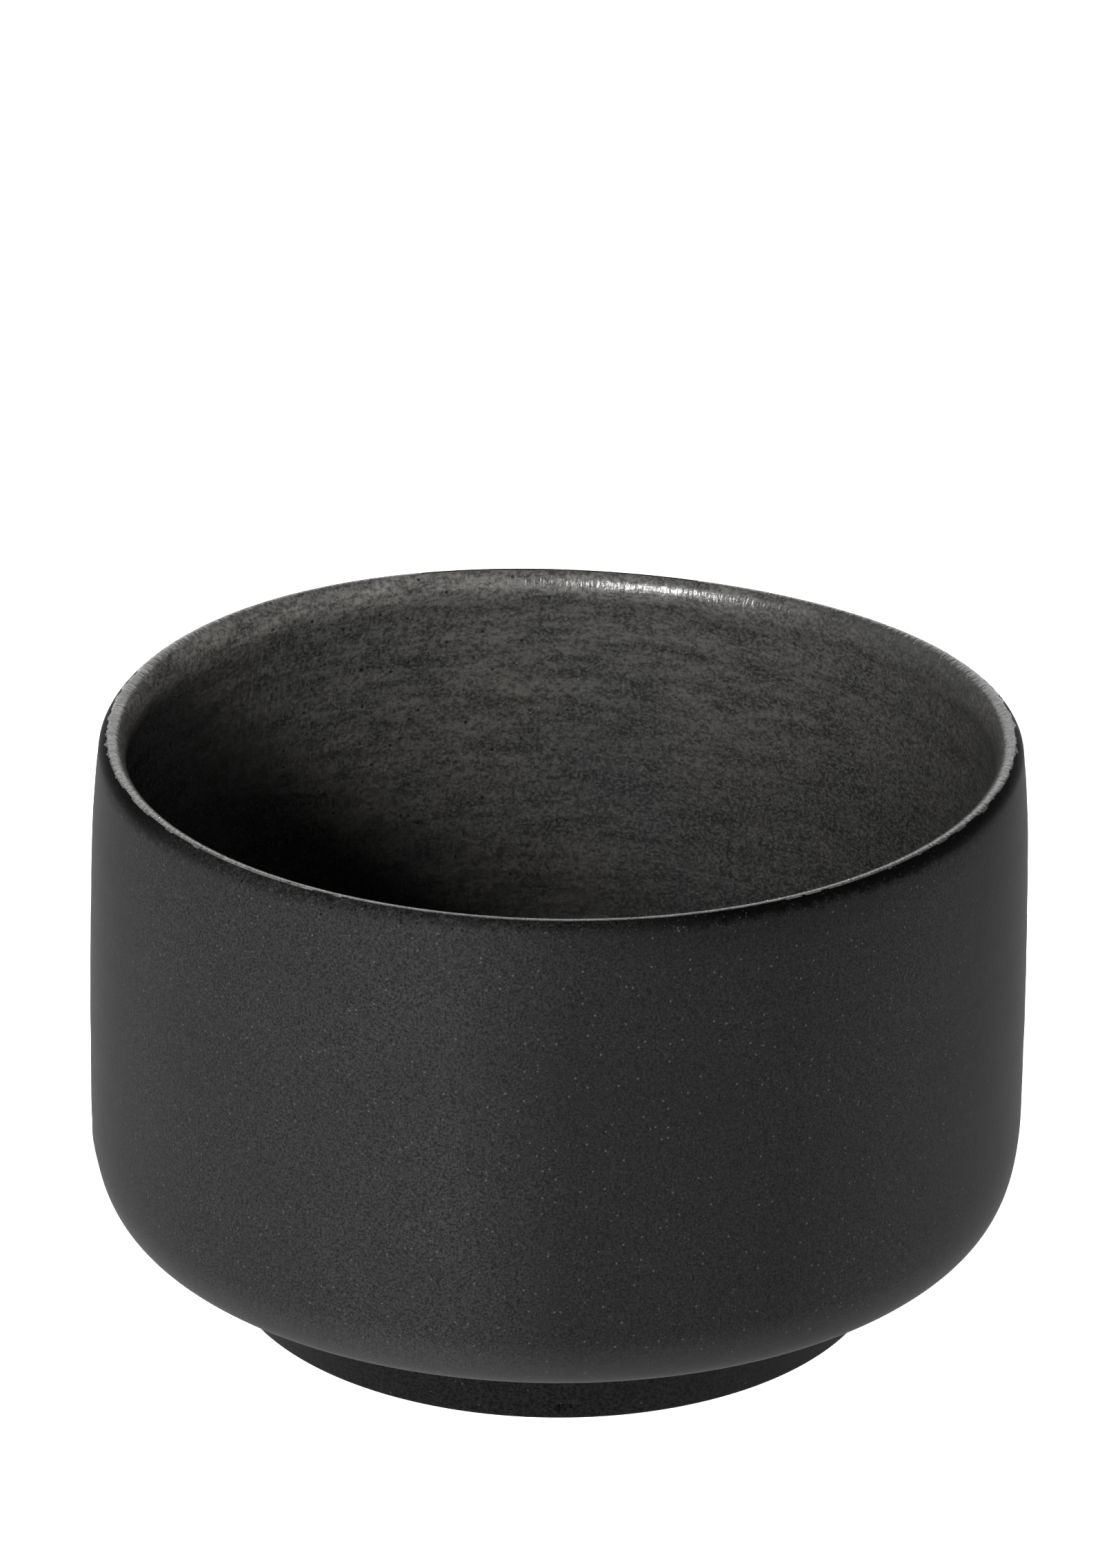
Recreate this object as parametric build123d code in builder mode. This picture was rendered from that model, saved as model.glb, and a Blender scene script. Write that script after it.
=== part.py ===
from build123d import *
import os

# A stoneware candle vessel: a turned bowl on a foot ring, glazed inside and matte outside.
# Millimetres, +Z up. The origin is the centre of the circle that the foot ring stands on.

# Whole vessel
HEIGHT = 69.0
BELLY_RADIUS = 55.0
BELLY_Z = 22.7
SHOULDER_RADIUS = 54.4
SHOULDER_Z = 54.3
RIM_RADIUS = 53.0

# Rounded lower corner of the bowl, and the flat underside that it runs into
UNDERSIDE_Z = 10.5
UNDERSIDE_RADIUS = 46.2
CORNER_RISE = 10.4
CORNER_RUN = 5.7

# Wall and floor, glaze included
RIM_THICKNESS = 2.9
SHOULDER_THICKNESS = 3.2
BELLY_THICKNESS = 3.4
FLOOR_THICKNESS = 5.0
INNER_CORNER_TOP_Z = 24.0
INNER_CORNER_RISE = 6.5
INNER_CORNER_RUN = 6.0
INNER_FLOOR_RADIUS = 42.0
RIM_OUTER_ROUNDING = 1.0
RIM_INNER_ROUNDING = 1.8

# Foot ring: tapers to the edge that it stands on
FOOT_TOP_OUTER_RADIUS = 42.3
FOOT_TOP_INNER_RADIUS = 33.4
FOOT_BASE_OUTER_RADIUS = 39.0
FOOT_BASE_INNER_RADIUS = 34.6
FOOT_EDGE_ROUNDING = 0.5

# Glaze inside and coat outside, which meet this far below the rim
GLAZE_THICKNESS = 0.4
GLAZE_LAP = 2.4

FLOOR_Z = UNDERSIDE_Z + FLOOR_THICKNESS
COAT_TOP_Z = HEIGHT - GLAZE_LAP
BEYOND = 4.0 * BELLY_RADIUS


def outer_wall(depth):
    """Adds the bowl's outside, at a depth in the wall, to the open BuildLine."""
    belly_radius = BELLY_RADIUS - depth
    underside_z = UNDERSIDE_Z + depth
    Bezier(
        (UNDERSIDE_RADIUS, underside_z),
        (UNDERSIDE_RADIUS + CORNER_RUN, underside_z),
        (belly_radius, BELLY_Z - CORNER_RISE),
        (belly_radius, BELLY_Z),
    )
    shoulder = (SHOULDER_RADIUS - depth, SHOULDER_Z)
    barrel = TangentArc((belly_radius, BELLY_Z), shoulder, tangent=(0, 1))
    TangentArc(barrel @ 1, (RIM_RADIUS - depth, HEIGHT - depth), tangent=barrel % 1)


def inner_wall(depth):
    """Adds the bowl's inside, at a depth in the wall, to the open BuildLine."""
    belly_radius = BELLY_RADIUS - BELLY_THICKNESS + depth
    shoulder = (SHOULDER_RADIUS - SHOULDER_THICKNESS + depth, SHOULDER_Z)
    rim_radius = RIM_RADIUS - RIM_THICKNESS + depth
    floor_z = FLOOR_Z - depth
    Bezier(
        (INNER_FLOOR_RADIUS, floor_z),
        (INNER_FLOOR_RADIUS + INNER_CORNER_RUN, floor_z),
        (belly_radius, INNER_CORNER_TOP_Z - INNER_CORNER_RISE),
        (belly_radius, INNER_CORNER_TOP_Z),
    )
    barrel = TangentArc((belly_radius, INNER_CORNER_TOP_Z), shoulder, tangent=(0, 1))
    TangentArc(barrel @ 1, (rim_radius, HEIGHT - depth), tangent=barrel % 1)


def bowl_outline(depth):
    """Adds half the bowl's outline, at a depth below its surface, to the open BuildLine."""
    rim_z = HEIGHT - depth
    floor_z = FLOOR_Z - depth
    underside_z = UNDERSIDE_Z + depth
    outer_wall(depth)
    Line((RIM_RADIUS - depth, rim_z), (RIM_RADIUS - RIM_THICKNESS + depth, rim_z))
    inner_wall(depth)
    Polyline(
        (INNER_FLOOR_RADIUS, floor_z),
        (0, floor_z),
        (0, underside_z),
        (UNDERSIDE_RADIUS, underside_z),
    )


def solid_outline(depth):
    """Adds half the outline that the bowl would have without its hollow, at a depth."""
    rim_z = HEIGHT - depth
    underside_z = UNDERSIDE_Z + depth
    outer_wall(depth)
    Polyline(
        (RIM_RADIUS - depth, rim_z),
        (0, rim_z),
        (0, underside_z),
        (UNDERSIDE_RADIUS, underside_z),
    )


# The finished bowl, and the clay core that is left when glaze and coat are taken off
with BuildSketch(Plane.XZ) as finished:
    with BuildLine():
        bowl_outline(0)
    make_face()
    rim_corners = finished.vertices().group_by(Axis.Y)[-1].sort_by(Axis.X)
    fillet(rim_corners[-1], radius=RIM_OUTER_ROUNDING)
    fillet(rim_corners[0], radius=RIM_INNER_ROUNDING)

with BuildSketch(Plane.XZ) as core:
    with BuildLine():
        bowl_outline(GLAZE_THICKNESS)
    make_face()
    core_corners = core.vertices().group_by(Axis.Y)[-1].sort_by(Axis.X)
    fillet(core_corners[-1], radius=RIM_OUTER_ROUNDING - GLAZE_THICKNESS)
    fillet(core_corners[0], radius=RIM_INNER_ROUNDING - GLAZE_THICKNESS)

# What lies outside the core of the wall, below the line where glaze and coat meet
with BuildSketch(Plane.XZ) as coat_zone:
    with Locations((0, COAT_TOP_Z)):
        Rectangle(BEYOND, BEYOND, align=(Align.MIN, Align.MAX))
    with BuildLine():
        solid_outline(GLAZE_THICKNESS)
    make_face(mode=Mode.SUBTRACT)

with BuildPart() as outer_coat:
    with BuildSketch(Plane.XZ) as coat_section:
        add(finished.sketch_local)
        add(coat_zone.sketch_local, mode=Mode.INTERSECT)
        with Locations((FOOT_TOP_OUTER_RADIUS, 0)):
            Rectangle(BEYOND, BEYOND, align=(Align.MIN, Align.CENTER), mode=Mode.INTERSECT)
    revolve(axis=Axis.Z)

with BuildPart() as liner_glaze:
    with BuildSketch(Plane.XZ) as liner_section:
        add(finished.sketch_local)
        add(core.sketch_local, mode=Mode.SUBTRACT)
        add(coat_zone.sketch_local, mode=Mode.SUBTRACT)
        with Locations((0, FLOOR_Z - FLOOR_THICKNESS / 2)):
            Rectangle(BEYOND, BEYOND, align=(Align.MIN, Align.MIN), mode=Mode.INTERSECT)
    revolve(axis=Axis.Z)

with BuildPart() as stoneware_body:
    with BuildSketch(Plane.XZ):
        add(finished.sketch_local)
        add(coat_section.sketch_local, mode=Mode.SUBTRACT)
        add(liner_section.sketch_local, mode=Mode.SUBTRACT)
    revolve(axis=Axis.Z)

with BuildPart() as foot_ring:
    with BuildSketch(Plane.XZ) as foot_section:
        with BuildLine():
            Polyline(
                (FOOT_TOP_INNER_RADIUS, UNDERSIDE_Z),
                (FOOT_BASE_INNER_RADIUS, 0),
                (FOOT_BASE_OUTER_RADIUS, 0),
                (FOOT_TOP_OUTER_RADIUS, UNDERSIDE_Z),
                close=True,
            )
        make_face()
        fillet(foot_section.vertices().group_by(Axis.Y)[0], radius=FOOT_EDGE_ROUNDING)
    revolve(axis=Axis.Z)

stoneware_body.part.label = "stoneware_body"
foot_ring.part.label = "foot_ring"
outer_coat.part.label = "outer_coat"
liner_glaze.part.label = "liner_glaze"

os.makedirs("parts", exist_ok=True)
export_step(stoneware_body.part, "parts/stoneware_body.step")
export_step(foot_ring.part, "parts/foot_ring.step")
export_step(outer_coat.part, "parts/outer_coat.step")
export_step(liner_glaze.part, "parts/liner_glaze.step")
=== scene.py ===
import math

import bpy
import numpy as np
from mathutils import Matrix, Vector


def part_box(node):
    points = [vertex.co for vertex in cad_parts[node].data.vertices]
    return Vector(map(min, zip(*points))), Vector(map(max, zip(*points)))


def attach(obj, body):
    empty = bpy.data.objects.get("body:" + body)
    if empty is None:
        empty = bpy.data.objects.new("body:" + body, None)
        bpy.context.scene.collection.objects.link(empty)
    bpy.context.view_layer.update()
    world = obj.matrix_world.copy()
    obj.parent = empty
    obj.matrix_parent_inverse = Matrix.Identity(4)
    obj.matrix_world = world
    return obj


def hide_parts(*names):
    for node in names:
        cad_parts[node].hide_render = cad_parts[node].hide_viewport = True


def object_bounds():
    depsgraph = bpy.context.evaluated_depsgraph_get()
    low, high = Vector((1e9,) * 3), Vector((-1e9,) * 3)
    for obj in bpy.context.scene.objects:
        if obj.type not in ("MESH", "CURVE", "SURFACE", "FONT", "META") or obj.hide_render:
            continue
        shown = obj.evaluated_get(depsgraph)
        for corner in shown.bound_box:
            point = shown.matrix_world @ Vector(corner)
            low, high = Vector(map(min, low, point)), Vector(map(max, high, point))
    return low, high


# A wide black stoneware candle vessel, glazed inside and over the rim, on a foot ring.
# The CAD gives true bodies of revolution. The pieces here take the same section and add what a
# hand-turned pot has: an uneven rim, throwing ripples, a ragged glaze edge, a trimming mark, pits.

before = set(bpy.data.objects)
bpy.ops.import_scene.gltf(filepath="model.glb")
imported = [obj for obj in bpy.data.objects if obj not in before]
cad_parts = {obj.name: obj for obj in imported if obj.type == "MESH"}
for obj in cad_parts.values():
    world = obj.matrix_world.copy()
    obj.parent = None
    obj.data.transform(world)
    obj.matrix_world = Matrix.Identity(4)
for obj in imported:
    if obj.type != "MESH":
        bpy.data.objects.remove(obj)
CAD_LOW, CAD_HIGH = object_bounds()
MM = 0.001

# ---------------------------------------------------------------- section, in millimetres
HEIGHT = CAD_HIGH.z / MM
BELLY_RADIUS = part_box("outer_coat")[1].x / MM
COAT_TOP_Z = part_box("outer_coat")[1].z / MM
UNDERSIDE_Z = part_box("foot_ring")[1].z / MM
FOOT_TOP_OUTER_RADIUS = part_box("foot_ring")[1].x / MM
GLAZE = (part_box("liner_glaze")[1].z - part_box("stoneware_body")[1].z) / MM
FLOOR_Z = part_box("liner_glaze")[0].z / MM + GLAZE

BELLY_Z = 22.7
SHOULDER_Z = 54.3
SHOULDER_DRAW_IN = 0.6
UNDERSIDE_RADIUS = 46.2
BELLY_THICKNESS = 3.4
INNER_BELLY_RADIUS = BELLY_RADIUS - BELLY_THICKNESS
INNER_SHOULDER_DRAW_IN = 0.4
AXIS_HOLE_RADIUS = 2.0  # the innermost ring, closed by a flat cap
INNER_CORNER_Z = 24.0
INNER_CORNER_RISE = 6.5
INNER_CORNER_RUN = 6.0
INNER_FLOOR_RADIUS = 42.0
FOOT_TOP_INNER_RADIUS = 33.4
FOOT_BASE_OUTER_RADIUS = 39.0
FOOT_BASE_INNER_RADIUS = 34.6
FOOT_EDGE = 0.5
CORNER_RISE = 10.4
CORNER_RUN = 5.7

RIM_OUTER_Z = 67.4
RIM_TOP_RADIUS = 52.0
RIM_INNER_Z = 65.9

# The bright glaze ends on the rim's outer rounding, so many rows of faces below its top.
RIM_OUTER_ROWS = 14
RIM_SIDE_ROWS = 4
RIM_FRONT_ROWS = 2
RIM_BACK_ROWS = -1

# Below the rim the glaze runs on as a thin lap, which sinks into the coat at LAP_CROSS_Z.
LAP_ROWS = 12
LAP_CROSS_Z = 66.5
LAP_CROSS_SHARE = 0.5
LAP_LIFT = 0.012
COAT_UNDER_LAP = 0.7

CHIP_ANGLE = math.radians(271.9)
CHIP_Z = 1.8
CHIP_HALF_WIDTH = 0.9
CHIP_HALF_HEIGHT = 0.4
CHIP_DEPTH = 0.8

RIDGE_Z = 19.0
RIDGE_HALF_HEIGHT = 1.1
RIDGE_HALF_ANGLE = 0.26
RIDGE_DEPTH = 0.17

# Heights of the rings that the throwing and the trimming left.
COAT_RINGS = 0.02
CLAY_RINGS = 0.04
LINER_RINGS = 0.06


def outer_radius(z):
    """Outside of the wall above the belly: nearly straight, then leaning in towards the rim."""
    z = np.asarray(z, float)
    low = BELLY_RADIUS - SHOULDER_DRAW_IN * ((z - BELLY_Z) / (SHOULDER_Z - BELLY_Z)) ** 2
    up = z - SHOULDER_Z
    high = BELLY_RADIUS - SHOULDER_DRAW_IN - 0.028 * up - 0.0038 * up**2
    return np.where(z < SHOULDER_Z, low, high)


def inner_radius(z):
    """Inside of the wall above the floor's corner."""
    z = np.asarray(z, float)
    rise = (z - INNER_CORNER_Z) / (SHOULDER_Z - INNER_CORNER_Z)
    low = INNER_BELLY_RADIUS - INNER_SHOULDER_DRAW_IN * rise**2
    up = z - SHOULDER_Z
    high = INNER_BELLY_RADIUS - INNER_SHOULDER_DRAW_IN - 0.0316 * up - 0.0045 * up**2
    return np.where(z < SHOULDER_Z, low, high)


def bezier(a, b, c, d, count):
    """Points of a cubic curve from a to d, without its first point."""
    t = np.linspace(0, 1, count + 1)[1:, None]
    a, b, c, d = (np.array(p, float) for p in (a, b, c, d))
    return a * (1 - t) ** 3 + 3 * b * (1 - t) ** 2 * t + 3 * c * (1 - t) * t**2 + d * t**3


def wall(radius_at, low, high, count):
    """Points of a wall from height low to height high, without the first."""
    z = np.linspace(low, high, count + 1)[1:]
    return np.stack([radius_at(z), z], 1)


def level(radius_from, radius_to, z, count):
    """Points of a flat from one radius to another, without the first."""
    r = np.linspace(radius_from, radius_to, count + 1)[1:]
    return np.stack([r, np.full(count, z)], 1)


def outer_corner(count):
    return bezier(
        (UNDERSIDE_RADIUS, UNDERSIDE_Z),
        (UNDERSIDE_RADIUS + CORNER_RUN, UNDERSIDE_Z),
        (BELLY_RADIUS, BELLY_Z - CORNER_RISE),
        (BELLY_RADIUS, BELLY_Z),
        count,
    )


def inner_corner(count):
    return bezier(
        (INNER_FLOOR_RADIUS, FLOOR_Z),
        (INNER_FLOOR_RADIUS + INNER_CORNER_RUN, FLOOR_Z),
        (INNER_BELLY_RADIUS, INNER_CORNER_Z - INNER_CORNER_RISE),
        (INNER_BELLY_RADIUS, INNER_CORNER_Z),
        count,
    )


def rim_outside(t):
    """Outer rounding of the rim, from the wall (t = 0) to the top (t = 1): radius and height."""
    start = (float(outer_radius(RIM_OUTER_Z)), RIM_OUTER_Z)
    r = (start[0], start[0] - 0.08, RIM_TOP_RADIUS + 0.45, RIM_TOP_RADIUS)
    z = (start[1], start[1] + 0.75, HEIGHT, HEIGHT)
    weights = ((1 - t) ** 3, 3 * (1 - t) ** 2 * t, 3 * (1 - t) * t**2, t**3)
    return sum(w * v for w, v in zip(weights, r)), sum(w * v for w, v in zip(weights, z))


def rim_inside(count):
    """From the top of the rim down its slow inner rounding, without the first point."""
    top = np.array([RIM_TOP_RADIUS, HEIGHT])
    end = np.array([float(inner_radius(RIM_INNER_Z)), RIM_INNER_Z])
    return bezier(top, top + (-1.25, 0.0), end + (-0.06, 1.3), end, count)


def inset(points, depth):
    """The same open line moved to its left by depth."""
    d = np.gradient(points, axis=0)
    n = np.stack([-d[:, 1], d[:, 0]], 1)
    return points + depth * n / np.linalg.norm(n, axis=1, keepdims=True)


# ---------------------------------------------------------------- what the hand left, in millimetres
# (waves round the rim, cosine, sine); the angle starts at +X and turns towards +Y
RIM_RISE_WAVES = ((1, -0.25, 0.09), (2, 0.30, -0.05), (3, 0.21, 0.12))
RIM_SPREAD_WAVES = ((2, 0.09, 0.09), (3, 0.34, 0.10))


def waves(terms, angle):
    return sum(c * np.cos(n * angle) + s * np.sin(n * angle) for n, c, s in terms)


def round_noise(angle, lowest, highest, seed, falloff=1.0):
    """A seamless random line round the pot, about -1 to 1, of waves from lowest to highest in number."""
    rng = np.random.default_rng(seed)
    n = np.arange(lowest, highest + 1)
    size = rng.normal(size=n.size) * (lowest / n) ** falloff
    turn = rng.uniform(0, 2 * math.pi, n.size)
    line = (size[:, None] * np.cos(n[:, None] * np.ravel(angle)[None, :] + turn[:, None])).sum(0)
    return (line / (2.2 * line.std())).reshape(np.shape(angle))


def handmade(r, z, angle):
    """Takes a point of the true section to where it is on the uneven pot."""
    up = np.clip(z / HEIGHT, 0, 1)
    r2 = r * (1 + up * waves(RIM_SPREAD_WAVES, angle) / BELLY_RADIUS)
    z2 = z + up**3 * (r / BELLY_RADIUS) * waves(RIM_RISE_WAVES, angle)
    return r2, z2


# ---------------------------------------------------------------- meshes
def lathe(name, r, z, caps=False):
    """A smooth closed mesh from rings. r and z are (rings, columns) in millimetres."""
    rings, columns = r.shape
    angle = np.arange(columns) * 2 * math.pi / columns
    r, z = handmade(r, z, angle[None, :])
    points = np.stack([r * np.cos(angle), r * np.sin(angle), z], -1).reshape(-1, 3) * MM
    i = np.arange(rings - 1 if caps else rings)[:, None]
    j = np.arange(columns)[None, :]
    k, l = (i + 1) % rings, (j + 1) % columns
    corners = [i * columns + j, i * columns + l, k * columns + l, k * columns + j]
    faces = np.stack(corners, -1).reshape(-1, 4).tolist()
    if caps:
        faces.append(list(range(columns))[::-1])
        faces.append(list(range((rings - 1) * columns, rings * columns)))
    mesh = bpy.data.meshes.new(name)
    mesh.from_pydata(points.tolist(), [], faces)
    mesh.validate()
    mesh.shade_smooth()
    piece = bpy.data.objects.new(name, mesh)
    bpy.context.scene.collection.objects.link(piece)
    return piece


def paint_outside(piece, columns, first, last):
    """Gives each column's faces, from its own ring first to the ring last, the second material."""
    index = np.zeros(len(piece.data.polygons), int)
    ring, column = np.divmod(np.arange(last * columns), columns)
    index[:last * columns] = ring >= first[column]
    piece.data.polygons.foreach_set("material_index", index)


def spread(line, columns):
    """(rings, columns) radii and heights of a line that is the same all round."""
    return (np.repeat(line[:, :1], columns, 1), np.repeat(line[:, 1:], columns, 1))


def angles(columns):
    return np.arange(columns) * 2 * math.pi / columns


def turned_lines(z, seed, spacing):
    """Rings left by fingers or a tool: a random line in height, about -1 to 1."""
    rng = np.random.default_rng(seed)
    total = 0
    for k in range(1, 9):
        height = rng.normal()
        length = spacing * (0.45 + 0.28 * k)
        total = total + height * np.sin(2 * math.pi * z / length + rng.uniform(0, 6.28))
    return total / 4


def trimming_ridge(z, angle):
    """A low ridge where the trimming tool lifted, on the left, in millimetres."""
    along = np.exp(-(((angle - math.pi) / RIDGE_HALF_ANGLE) ** 2))
    return RIDGE_DEPTH * along * np.exp(-(((z - RIDGE_Z) / RIDGE_HALF_HEIGHT) ** 2))


def make_coat():
    """The matte coat: the outside of the bowl from the foot ring to under the glaze's lap."""
    columns = 720
    top_z = COAT_TOP_Z + COAT_UNDER_LAP
    face = np.vstack([
        [[FOOT_TOP_OUTER_RADIUS, UNDERSIDE_Z]],
        level(FOOT_TOP_OUTER_RADIUS, UNDERSIDE_RADIUS, UNDERSIDE_Z, 4),
        outer_corner(32),
        wall(outer_radius, BELLY_Z, SHOULDER_Z, 44),
        wall(outer_radius, SHOULDER_Z, top_z, 22),
    ])
    back = inset(face, GLAZE)
    r, z = spread(face, columns)
    angle = angles(columns)[None, :]
    r = r + trimming_ridge(z, angle)
    r = r + COAT_RINGS * np.clip((z - 14) / 6, 0, 1) * turned_lines(z + 0.3 * np.cos(angle), 21, 6.0)
    back_r, back_z = spread(np.vstack([back[::-6], back[:1]]), columns)
    return lathe("matte_coat", np.vstack([r, back_r]), np.vstack([z, back_z]))


def make_clay():
    """The clay bowl under glaze and coat; only its underside, inside the foot ring, is bare."""
    columns = 360
    under = np.vstack([
        [[AXIS_HOLE_RADIUS, UNDERSIDE_Z]],
        level(AXIS_HOLE_RADIUS, FOOT_TOP_OUTER_RADIUS, UNDERSIDE_Z, 24),
    ])
    outside = np.vstack([
        [[FOOT_TOP_OUTER_RADIUS, UNDERSIDE_Z + GLAZE]],
        level(FOOT_TOP_OUTER_RADIUS, UNDERSIDE_RADIUS, UNDERSIDE_Z + GLAZE, 2),
        inset(np.vstack([[[UNDERSIDE_RADIUS, UNDERSIDE_Z]], outer_corner(14)]), GLAZE)[1:],
        wall(lambda h: outer_radius(h) - GLAZE, BELLY_Z, RIM_OUTER_Z, 24),
        [[RIM_TOP_RADIUS, HEIGHT - 2 * GLAZE]],
        wall(lambda h: inner_radius(h) + GLAZE, RIM_INNER_Z, INNER_CORNER_Z, 20),
        inset(np.vstack([inner_corner(14)[::-1], [[INNER_FLOOR_RADIUS, FLOOR_Z]]]), GLAZE)[1:],
        level(INNER_FLOOR_RADIUS, AXIS_HOLE_RADIUS, FLOOR_Z - GLAZE, 10),
    ])
    r, z = spread(np.vstack([under, outside]), columns)
    bare = np.where(np.arange(len(r)) < len(under), 1, 0)[:, None]
    r = r + CLAY_RINGS * bare * turned_lines(r, 31, 3.0)
    return lathe("clay_bowl", r, z, caps=True)


def make_liner():
    """The glaze: inner floor and wall, the rim, and a lap outside it that ends in a ragged edge."""
    columns = 640
    angle = angles(columns)
    inside = np.vstack([
        [[AXIS_HOLE_RADIUS, FLOOR_Z]],
        level(AXIS_HOLE_RADIUS, INNER_FLOOR_RADIUS, FLOOR_Z, 8),
        inner_corner(14),
        wall(inner_radius, INNER_CORNER_Z, RIM_INNER_Z, 72),
        rim_inside(14)[::-1][1:],
    ])
    r, z = spread(inside, columns)
    wall_share = np.clip((z - FLOOR_Z) / 6, 0, 1) * np.clip((HEIGHT - 1 - z) / 4, 0, 1)
    r = r + LINER_RINGS * wall_share * turned_lines(z + 0.5 * angle[None, :] / math.pi * 1.5, 41, 3.4)

    t = np.linspace(1, 0, RIM_OUTER_ROWS + 1)[:, None]
    rim_r, rim_z = (np.repeat(v, columns, 1) for v in rim_outside(t))

    cross_z = LAP_CROSS_Z + 0.2 * round_noise(angle, 2, 9, 11)
    cross_z = cross_z + 0.08 * round_noise(angle, 20, 100, 12, 0.6)
    share = np.linspace(0, 1, LAP_ROWS + 1)[1:, None]
    lap_z = RIM_OUTER_Z + (cross_z - RIM_OUTER_Z) * share / LAP_CROSS_SHARE
    lap_r = outer_radius(lap_z) + LAP_LIFT * np.minimum(1, 10 * share) * (1 - share / LAP_CROSS_SHARE)

    back_line = np.vstack([
        wall(lambda h: outer_radius(h) - GLAZE, COAT_TOP_Z, RIM_OUTER_Z - 0.2, 3),
        [[RIM_TOP_RADIUS, HEIGHT - 2 * GLAZE]],
        wall(lambda h: inner_radius(h) + GLAZE, RIM_INNER_Z, INNER_CORNER_Z, 8),
        inset(np.vstack([inner_corner(6)[::-1], [[INNER_FLOOR_RADIUS, FLOOR_Z]]]), GLAZE)[1:],
        level(INNER_FLOOR_RADIUS, AXIS_HOLE_RADIUS, FLOOR_Z - GLAZE, 2),
    ])
    back_r, back_z = spread(back_line, columns)
    piece = lathe(
        "liner",
        np.vstack([r, rim_r, lap_r, back_r]),
        np.vstack([z, rim_z, lap_z, back_z]),
        caps=True,
    )
    side_share = np.cos(angle) ** 2
    away = np.where(np.sin(angle) < 0, RIM_FRONT_ROWS, RIM_BACK_ROWS)
    reach = len(r) + RIM_SIDE_ROWS * side_share + away * (1 - side_share)
    reach = np.round(reach + (0.1 + 1.5 * side_share**2) * round_noise(angle, 30, 140, 15, 0.2))
    paint_outside(piece, columns, reach, len(r) + len(t) + len(share))
    return piece


def make_foot():
    """The foot ring, tapering down to a rounded edge, with a chip out of its front."""
    columns = 720
    edge = FOOT_EDGE
    slope = (FOOT_TOP_OUTER_RADIUS - FOOT_BASE_OUTER_RADIUS) / UNDERSIDE_Z
    inner_slope = (FOOT_TOP_INNER_RADIUS - FOOT_BASE_INNER_RADIUS) / UNDERSIDE_Z
    line = np.vstack([
        [[FOOT_TOP_OUTER_RADIUS, UNDERSIDE_Z]],
        wall(lambda h: FOOT_BASE_OUTER_RADIUS + slope * h, UNDERSIDE_Z, edge, 40),
        bezier(
            (FOOT_BASE_OUTER_RADIUS + slope * edge, edge),
            (FOOT_BASE_OUTER_RADIUS + slope * edge / 3, edge / 3),
            (FOOT_BASE_OUTER_RADIUS - edge / 3, 0),
            (FOOT_BASE_OUTER_RADIUS - edge, 0),
            8,
        ),
        level(FOOT_BASE_OUTER_RADIUS - edge, FOOT_BASE_INNER_RADIUS + edge, 0, 4),
        bezier(
            (FOOT_BASE_INNER_RADIUS + edge, 0),
            (FOOT_BASE_INNER_RADIUS + edge / 3, 0),
            (FOOT_BASE_INNER_RADIUS + inner_slope * edge / 3, edge / 3),
            (FOOT_BASE_INNER_RADIUS + inner_slope * edge, edge),
            8,
        ),
        wall(lambda h: FOOT_BASE_INNER_RADIUS + inner_slope * h, edge, UNDERSIDE_Z, 14),
    ])
    r, z = spread(line[::-1], columns)
    angle = angles(columns)[None, :]
    across = (angle - CHIP_ANGLE) * FOOT_BASE_OUTER_RADIUS
    chip = np.exp(-((across / CHIP_HALF_WIDTH) ** 4) - (((z - CHIP_Z) / CHIP_HALF_HEIGHT) ** 4))
    r = r - CHIP_DEPTH * chip * (r > FOOT_BASE_OUTER_RADIUS - edge)
    return lathe("foot", r, z)


# ---------------------------------------------------------------- materials
SPOT_CHANCE = 0.2  # share of the cells of a spotted texture that hold a spot


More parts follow.
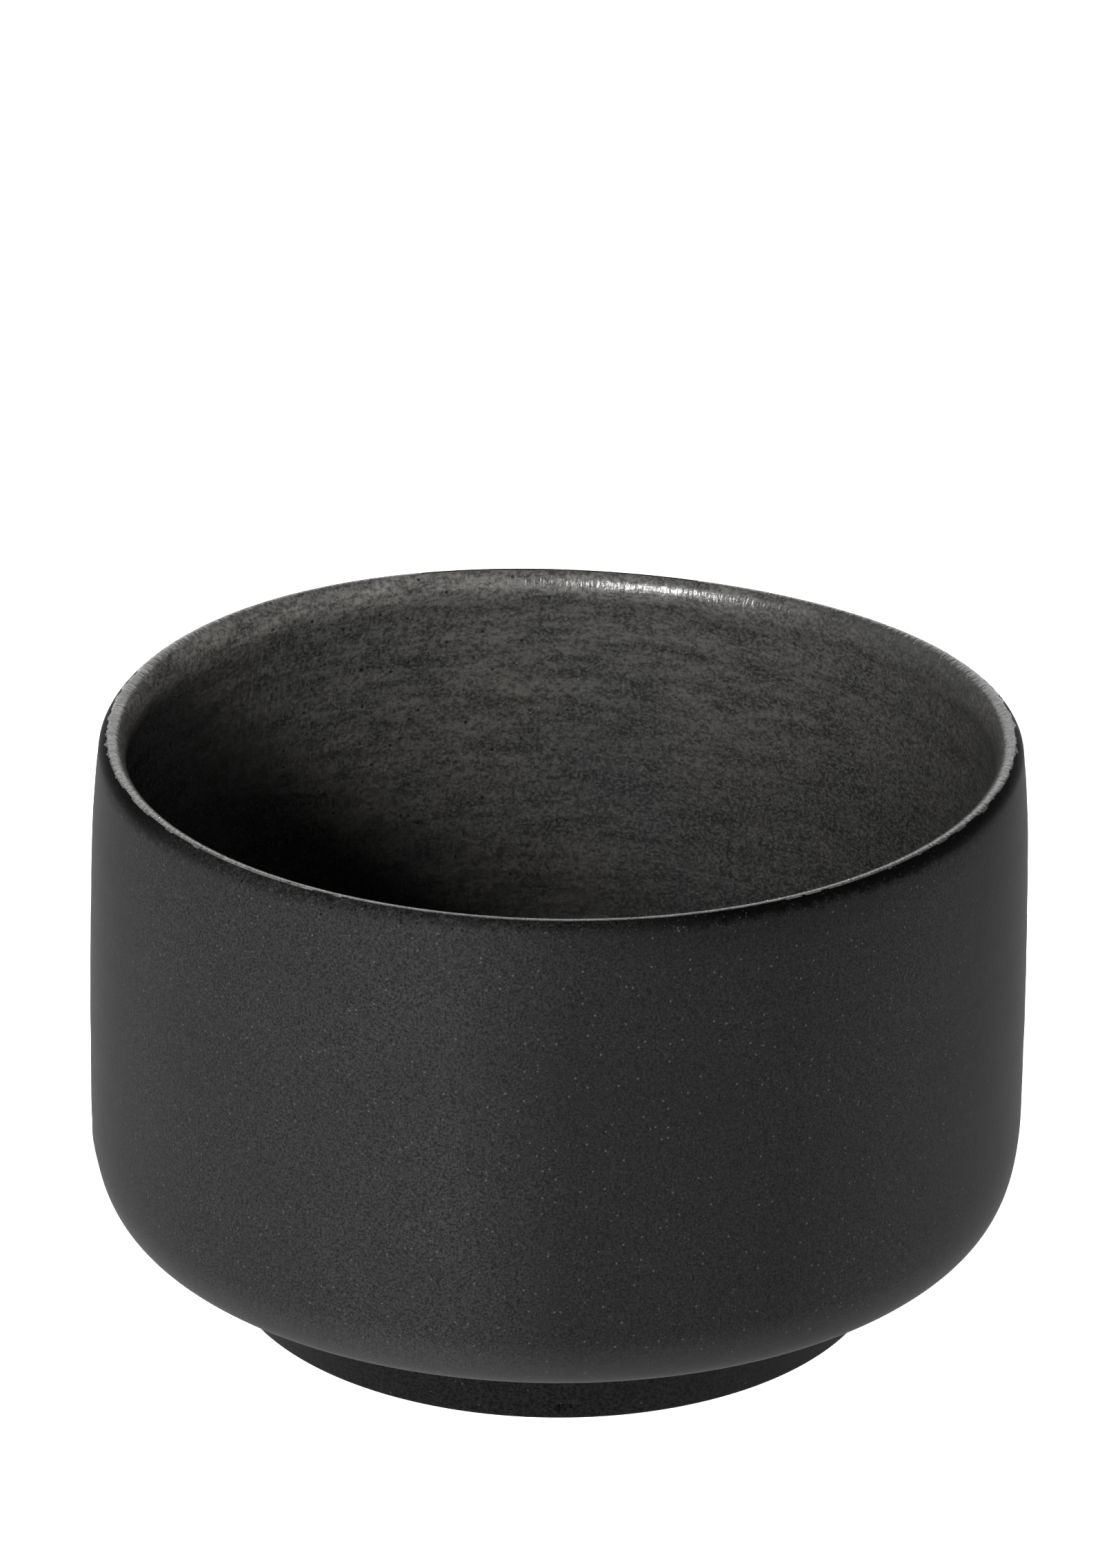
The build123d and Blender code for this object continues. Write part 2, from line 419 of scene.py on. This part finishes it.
class Nodes:
    """Short ways to build one material's nodes."""

    def __init__(self, name):
        self.material = bpy.data.materials.new(name)
        self.material.use_nodes = True
        self.tree = self.material.node_tree
        self.tree.nodes.clear()
        self.out = self.add("ShaderNodeOutputMaterial")
        self.shader = self.add("ShaderNodeBsdfPrincipled")
        self.link(self.shader.outputs[0], self.out.inputs["Surface"])
        self.where = self.add("ShaderNodeTexCoord").outputs["Object"]

    def add(self, kind, **settings):
        node = self.tree.nodes.new(kind)
        for key, value in settings.items():
            setattr(node, key, value)
        return node

    def link(self, a, b):
        self.tree.links.new(a, b)

    def put(self, socket, value):
        if isinstance(value, bpy.types.NodeSocket):
            self.link(value, socket)
        else:
            socket.default_value = value

    def math(self, operation, a, b=0.0, clamp=False):
        node = self.add("ShaderNodeMath", operation=operation, use_clamp=clamp)
        self.put(node.inputs[0], a)
        self.put(node.inputs[1], b)
        return node.outputs[0]

    def split(self, vector):
        node = self.add("ShaderNodeSeparateXYZ")
        self.link(vector, node.inputs[0])
        return node.outputs

    def stretch(self, vector, scale):
        node = self.add("ShaderNodeVectorMath", operation="MULTIPLY")
        self.put(node.inputs[0], vector)
        node.inputs[1].default_value = scale
        return node.outputs[0]

    def noise(self, vector, scale, detail=2.0, rough=0.5):
        node = self.add("ShaderNodeTexNoise")
        self.put(node.inputs["Vector"], vector)
        node.inputs["Scale"].default_value = scale
        node.inputs["Detail"].default_value = detail
        node.inputs["Roughness"].default_value = rough
        return node.outputs["Fac"]

    def ramp(self, value, low, high, start=0.0, end=1.0):
        """start below low, end above high, straight between."""
        node = self.add("ShaderNodeMapRange")
        self.put(node.inputs["Value"], value)
        self.put(node.inputs["From Min"], low)
        self.put(node.inputs["From Max"], high)
        node.inputs["To Min"].default_value = start
        node.inputs["To Max"].default_value = end
        return node.outputs["Result"]

    def mm(self, place, low, high, start=0.0, end=1.0):
        """A ramp along a coordinate, with its limits in millimetres."""
        return self.ramp(place, low * MM, high * MM, start, end)

    def times(self, first, *others):
        """All the values multiplied."""
        for other in others:
            first = self.math("MULTIPLY", first, other)
        return first

    def mix(self, share, a, b):
        node = self.add("ShaderNodeMix", data_type="RGBA")
        self.put(node.inputs[0], share)
        self.put(node.inputs[6], a)
        self.put(node.inputs[7], b)
        return node.outputs[2]

    def spots(self, radius, per_mm2, seed=0.0):
        """1 inside round spots: radius in millimetres, and how many there are on a square millimetre."""
        cells = (per_mm2 / (2 * radius * SPOT_CHANCE)) ** (1 / 3)
        place = self.add("ShaderNodeVectorMath", operation="ADD")
        self.link(self.where, place.inputs[0])
        place.inputs[1].default_value = (seed, seed * 0.7, seed * 1.3)
        node = self.add("ShaderNodeTexVoronoi", feature="F1")
        self.link(place.outputs[0], node.inputs["Vector"])
        node.inputs["Scale"].default_value = cells / MM
        pick = self.math("LESS_THAN", self.split(node.outputs["Color"])[0], SPOT_CHANCE)
        edge = radius * cells
        near = self.ramp(node.outputs["Distance"], edge * 0.5, edge, 1.0, 0.0)
        return self.math("MULTIPLY", pick, near)

    def bump(self, height, strength, distance, normal=None):
        node = self.add("ShaderNodeBump")
        self.put(node.inputs["Height"], height)
        node.inputs["Strength"].default_value = strength
        node.inputs["Distance"].default_value = distance
        if normal is not None:
            self.link(normal, node.inputs["Normal"])
        return node.outputs[0]


def grey(v, warm=0.0):
    return (v * (1 + warm), v, v * (1 - 1.6 * warm), 1.0)


COAT_SPECULAR = 0.036
LAP_SPECULAR = 0.034


def coat_tone(n):
    """Colour of the matte coat, with painted shade and painted light, and the grain that also roughens
    it.
    """
    grain = n.noise(n.where, 4000.0, 2.0, 0.6)
    cloud = n.noise(n.where, 70.0, 4.0, 0.55)
    tone = n.mix(n.ramp(grain, 0.34, 0.66), grey(0.0014), grey(0.0066))
    tone = n.mix(n.ramp(cloud, 0.3, 0.75, 0.0, 0.3), tone, grey(0.0027))
    x, y, z = n.split(n.where)[:3]
    # painted shade: darker towards the rim on the right
    tone = n.mix(n.times(n.mm(x, 4, 18), n.mm(z, 63.5, 66.8, 0.0, 0.35)), tone, grey(0.0008))
    # painted shade: darker on the right of the front, and at both sides
    painted_shade_patch = n.times(n.mm(x, -12, 2), n.mm(x, 42, 26, 0.0, 0.5), n.mm(y, 0, -10))
    painted_side_shade = n.mm(n.math("ABSOLUTE", x), 46, 55, 0.0, 0.50)
    tone = n.mix(n.math("MAXIMUM", painted_shade_patch, painted_side_shade), tone, grey(0.0006))
    # light specks, few large and many small
    tone = n.mix(n.times(n.spots(0.16, 0.20), 0.45), tone, grey(0.020))
    tone = n.mix(n.times(n.spots(0.09, 0.50, 2.0), 0.30), tone, grey(0.020))
    # painted light from the floor: lighter above the foot ring
    painted_floor_light = n.mm(n.math("ADD", z, n.times(cloud, 1.0 * MM)), 19.0, 11.5, 0.0, 0.45)
    return n.mix(painted_floor_light, tone, grey(0.012)), grain


def matte(n, tone, grain, specular):
    """Finishes the coat's material and, the same, that of the thin glaze above it."""
    n.put(n.shader.inputs["Base Color"], tone)
    n.put(n.shader.inputs["Roughness"], n.ramp(grain, 0.2, 0.8, 0.54, 0.64))
    n.shader.inputs["Specular IOR Level"].default_value = specular
    fine = n.bump(grain, 0.6, 0.06 * MM)
    n.put(n.shader.inputs["Normal"], n.bump(n.noise(n.where, 1400.0, 2.0), 0.3, 0.05 * MM, fine))
    return n.material


def coat_material():
    n = Nodes("matte_black_coat")
    return matte(n, *coat_tone(n), COAT_SPECULAR)


def radial(n):
    """A coordinate that turns with the angle and hardly changes along the radius, for streaks."""
    flat = n.stretch(n.where, (1.0, 1.0, 0.0))
    unit = n.add("ShaderNodeVectorMath", operation="NORMALIZE")
    n.link(flat, unit.inputs[0])
    scaled = n.stretch(unit.outputs[0], (BELLY_RADIUS * MM,) * 3)
    both = n.add("ShaderNodeVectorMath", operation="ADD")
    n.link(scaled, both.inputs[0])
    n.link(n.stretch(n.where, (0.3, 0.3, 0.45)), both.inputs[1])
    return both.outputs[0]


def liner_tone(n, x, z, fine, mottle):
    """Colour of the glaze inside: clouds, then painted light and shade by place, then brush marks and
    grain.
    """
    cloud = n.noise(n.where, 55.0, 3.0, 0.5)
    brushed = n.noise(n.stretch(n.where, (0.22, 0.22, 1.0)), 650.0, 4.0, 0.6)
    rings = n.noise(n.stretch(n.where, (0.05, 0.05, 1.0)), 500.0, 2.0, 0.6)
    tone = n.mix(n.ramp(cloud, 0.35, 0.65), grey(0.028), grey(0.040, 0.06))
    # painted shade to the right, and painted light towards the top
    tone = n.mix(n.mm(x, 0, 45, 0.0, 0.65), tone, grey(0.008))
    tone = n.mix(n.mm(z, 40, 60, 0.0, 0.30), tone, grey(0.060, 0.04))
    # painted light: a lighter band on the inner rounding of the rim, at the back and left
    painted_bevel_light = n.times(n.mm(z, 65.0, 67.4, 0.0, 0.8), n.mm(z, 68.4, 69.2, 1.0, 0.0))
    painted_bevel_light = n.times(painted_bevel_light, n.mm(x, 20, -20, 0.0, 0.8), n.mm(x, -46, -36))
    tone = n.mix(painted_bevel_light, tone, grey(0.075, 0.05))
    tone = n.mix(n.ramp(brushed, 0.44, 0.64, 0.0, 0.8), tone, grey(0.009))
    tone = n.mix(n.ramp(rings, 0.4, 0.7, 0.0, 0.3), tone, grey(0.012))
    tone = n.mix(n.ramp(mottle, 0.42, 0.60, 0.0, 0.72), tone, grey(0.006))
    tone = n.mix(n.ramp(fine, 0.45, 0.64, 0.0, 0.50), tone, grey(0.056, 0.02))
    # painted shade: dark where the rim rounds over on the right
    tone = n.mix(n.times(n.mm(z, 64.0, 67.2), n.mm(x, 22, 36, 0.0, 0.55)), tone, grey(0.010))
    # dark pits, mostly on the left, and a few light specks
    tone = n.mix(n.times(n.spots(0.27, 0.07, 3.0), n.mm(x, 20, -10, 0.3, 0.9)), tone, grey(0.002))
    return n.mix(n.times(n.spots(0.11, 0.05, 7.0), 0.7), tone, grey(0.10))


def liner_material():
    n = Nodes("satin_black_glaze")
    x, y, z = n.split(n.where)[:3]
    fine = n.noise(n.stretch(n.where, (0.8, 0.8, 1.0)), 3200.0, 2.0, 0.6)
    mottle = n.noise(n.stretch(n.where, (0.6, 0.6, 1.0)), 1750.0, 3.0, 0.65)
    n.put(n.shader.inputs["Base Color"], liner_tone(n, x, z, fine, mottle))
    n.put(n.shader.inputs["Roughness"], n.ramp(mottle, 0.3, 0.7, 0.22, 0.34))
    n.shader.inputs["Specular IOR Level"].default_value = 0.5
    streaks = n.bump(n.noise(radial(n), 1300.0, 2.0), 0.8, 0.14 * MM)
    normal = n.bump(fine, 0.4, 0.04 * MM, streaks)
    n.put(n.shader.inputs["Normal"], n.bump(mottle, 0.5, 0.1 * MM, normal))
    return n.material


def lap_tone(n):
    """Colour of the glaze where it runs thin over the outside of the rim, with painted shade at its
    sides, and its grain.
    """
    x, y, z = n.split(n.where)[:3]
    tone, grain = coat_tone(n)
    mottle = n.noise(n.where, 1500.0, 3.0, 0.65)
    # painted shade at the right and left, and dark patches of the glaze between; its lower edge is
    # ragged and lower at the sides
    side_shade_and_patches = n.math("MAXIMUM", n.mm(x, 4, 18), n.mm(x, -36, -47))
    side_shade_and_patches = n.math("MAXIMUM", side_shade_and_patches, n.ramp(mottle, 0.42, 0.58, 0.0, 0.6))
    low = n.math("ADD", n.times(mottle, 3.0 * MM), n.mm(x, 30, 48, 65.6 * MM, 64.8 * MM))
    low = n.math("SUBTRACT", low, n.mm(x, -40, -52, 0.0, 1.0 * MM))
    height = n.math("SUBTRACT", z, low)
    tone = n.mix(n.times(side_shade_and_patches, n.mm(height, 0.0, 0.9, 0.0, 0.9)), tone, grey(0.0002))
    # black pits and light crumbs in it
    tone = n.mix(n.times(n.spots(0.19, 0.45, 5.0), n.mm(height, -0.6, 0.2)), tone, grey(0.0003))
    crumbs = n.times(n.spots(0.10, 1.0, 9.0), n.mm(height, -0.3, 0.3, 0.0, 0.4))
    return n.mix(crumbs, tone, grey(0.018)), grain


def lap_material():
    n = Nodes("thin_black_glaze")
    return matte(n, *lap_tone(n), LAP_SPECULAR)


def foot_material():
    n = Nodes("wiped_black_clay")
    grain = n.noise(n.where, 2600.0, 2.0, 0.6)
    tone = n.mix(n.ramp(grain, 0.38, 0.62), grey(0.0001), grey(0.0016))
    tone = n.mix(n.times(n.spots(0.12, 0.06, 5.0), 0.6), tone, grey(0.025))
    n.put(n.shader.inputs["Base Color"], tone)
    n.put(n.shader.inputs["Roughness"], n.ramp(grain, 0.2, 0.8, 0.50, 0.62))
    n.shader.inputs["Specular IOR Level"].default_value = 0.03
    n.put(n.shader.inputs["Normal"], n.bump(grain, 0.7, 0.08 * MM))
    return n.material


def clay_material():
    n = Nodes("bare_black_clay")
    grain = n.noise(n.where, 1500.0, 4.0, 0.65)
    tone = n.mix(n.ramp(grain, 0.3, 0.7), grey(0.012), grey(0.026))
    n.put(n.shader.inputs["Base Color"], tone)
    n.shader.inputs["Roughness"].default_value = 0.85
    n.put(n.shader.inputs["Normal"], n.bump(grain, 0.6, 0.1 * MM))
    return n.material


FLOOR_GLOW = 0.9
FLOOR_HALF = 6.0
WORLD_STRENGTH = 0.05


def floor_material():
    """A light table: pale, and glowing a little, so that the pot throws hardly any shadow."""
    n = Nodes("pale_floor")
    faint = n.noise(n.where, 9.0, 2.0)
    n.put(n.shader.inputs["Base Color"], n.mix(faint, grey(0.66), grey(0.68)))
    n.shader.inputs["Roughness"].default_value = 0.9
    n.shader.inputs["Specular IOR Level"].default_value = 0.0
    n.shader.inputs["Emission Color"].default_value = (1.0, 1.0, 1.0, 1.0)
    n.shader.inputs["Emission Strength"].default_value = FLOOR_GLOW
    return n.material


# ---------------------------------------------------------------- pieces
PIECES = (
    (make_clay, clay_material, "stoneware_body", "clay"),
    (make_foot, foot_material, "foot_ring", "foot_clay"),
    (make_coat, coat_material, "outer_coat", "matte_coat"),
    (make_liner, liner_material, "liner_glaze", "liner"),
)
for make, material, node, slot in PIECES:
    piece = make()
    piece.data.materials.append(material())
    if slot == "liner":
        piece.data.materials.append(lap_material())
    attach(piece, "root")
    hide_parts(node)

# ---------------------------------------------------------------- floor and light
floor_mesh = bpy.data.meshes.new("floor")
floor_corners = [(x * FLOOR_HALF, y * FLOOR_HALF, 0) for x, y in ((-1, -1), (1, -1), (1, 1), (-1, 1))]
floor_mesh.from_pydata(floor_corners, [], [(0, 1, 2, 3)])
floor = bpy.data.objects.new("floor", floor_mesh)
floor.data.materials.append(floor_material())
bpy.context.scene.collection.objects.link(floor)


# name, azimuth from +X towards +Y and elevation in degrees, width and height in metres, watts,
# whether it shows in reflections, and whether it lights what is matte
LIGHTS = (
    ("key", 243.0, 26.5, 0.34, 0.30, 44.0, True, True),
    ("front", 262.0, 13.0, 0.7, 0.5, 32.0, False, True),
    ("low_left", 202.0, 1.5, 0.8, 0.12, 32.0, False, True),
    ("low_front", 238.0, 1.5, 0.8, 0.12, 125.0, False, True),
    ("low_right", 315.0, 1.5, 0.9, 0.12, 76.0, False, True),
    ("right", 330.0, 14.0, 0.8, 0.4, 1.8, False, True),
    ("back", 90.0, 24.0, 1.8, 0.8, 11.0, True, False),
    ("low_back", 90.0, 1.5, 0.4, 0.12, 170.0, False, True),
    ("overhead", 90.0, 60.0, 0.8, 0.8, 12.0, False, True),
)
LIGHT_DISTANCE = 1.7
AIM = Vector((0, 0, 0.04))


def area_light(name, azimuth, elevation, width, height, power, mirrored, diffuse):
    """A soft box that faces the pot and isn't itself seen by the camera."""
    data = bpy.data.lights.new(name, "AREA")
    data.shape = "RECTANGLE"
    data.size, data.size_y = width, height
    data.energy = power
    light = bpy.data.objects.new(name, data)
    a, e = math.radians(azimuth), math.radians(elevation)
    direction = Vector((math.cos(a) * math.cos(e), math.sin(a) * math.cos(e), math.sin(e)))
    light.location = AIM + direction * LIGHT_DISTANCE
    light.rotation_mode = "QUATERNION"
    light.rotation_quaternion = direction.to_track_quat("Z", "Y")
    light.visible_camera = False
    light.visible_glossy = mirrored
    light.visible_diffuse = diffuse
    bpy.context.scene.collection.objects.link(light)


for row in LIGHTS:
    area_light(*row)

world = bpy.data.worlds.new("studio")
world.use_nodes = True
world.node_tree.nodes["Background"].inputs["Color"].default_value = (1.0, 1.0, 1.0, 1.0)
world.node_tree.nodes["Background"].inputs["Strength"].default_value = WORLD_STRENGTH
bpy.context.scene.world = world
bpy.context.scene.view_settings.view_transform = "Standard"
bpy.context.scene.view_settings.look = "None"

# ---------------------------------------------------------------- camera
CAMERA_DISTANCE = 0.7165
CAMERA_ELEVATION = math.radians(25.95)
CAMERA_PITCH = math.radians(23.38)
CAMERA_YAW = math.radians(0.018)
CAMERA_ROLL = math.radians(0.54)
CAMERA_PIVOT_Z = 0.0272
LENS_MM = 138.8

camera_data = bpy.data.cameras.new("camera")
camera_data.sensor_width = 36.0
camera_data.lens = LENS_MM
camera_data.clip_start = 0.01
camera_data.clip_end = 50.0
camera = bpy.data.objects.new("camera", camera_data)
bpy.context.scene.collection.objects.link(camera)
forward = Vector((
    math.sin(CAMERA_YAW) * math.cos(CAMERA_PITCH),
    math.cos(CAMERA_YAW) * math.cos(CAMERA_PITCH),
    -math.sin(CAMERA_PITCH),
))
right = forward.cross(Vector((0, 0, 1))).normalized()
up = right.cross(forward)
rolled_right = right * math.cos(CAMERA_ROLL) + up * math.sin(CAMERA_ROLL)
rolled_up = up * math.cos(CAMERA_ROLL) - right * math.sin(CAMERA_ROLL)
place = Vector((
    0.0,
    -CAMERA_DISTANCE * math.cos(CAMERA_ELEVATION),
    CAMERA_DISTANCE * math.sin(CAMERA_ELEVATION) + CAMERA_PIVOT_Z,
))
turn = Matrix((rolled_right, rolled_up, -forward)).transposed().to_4x4()
camera.matrix_world = Matrix.Translation(place) @ turn
bpy.context.scene.camera = camera
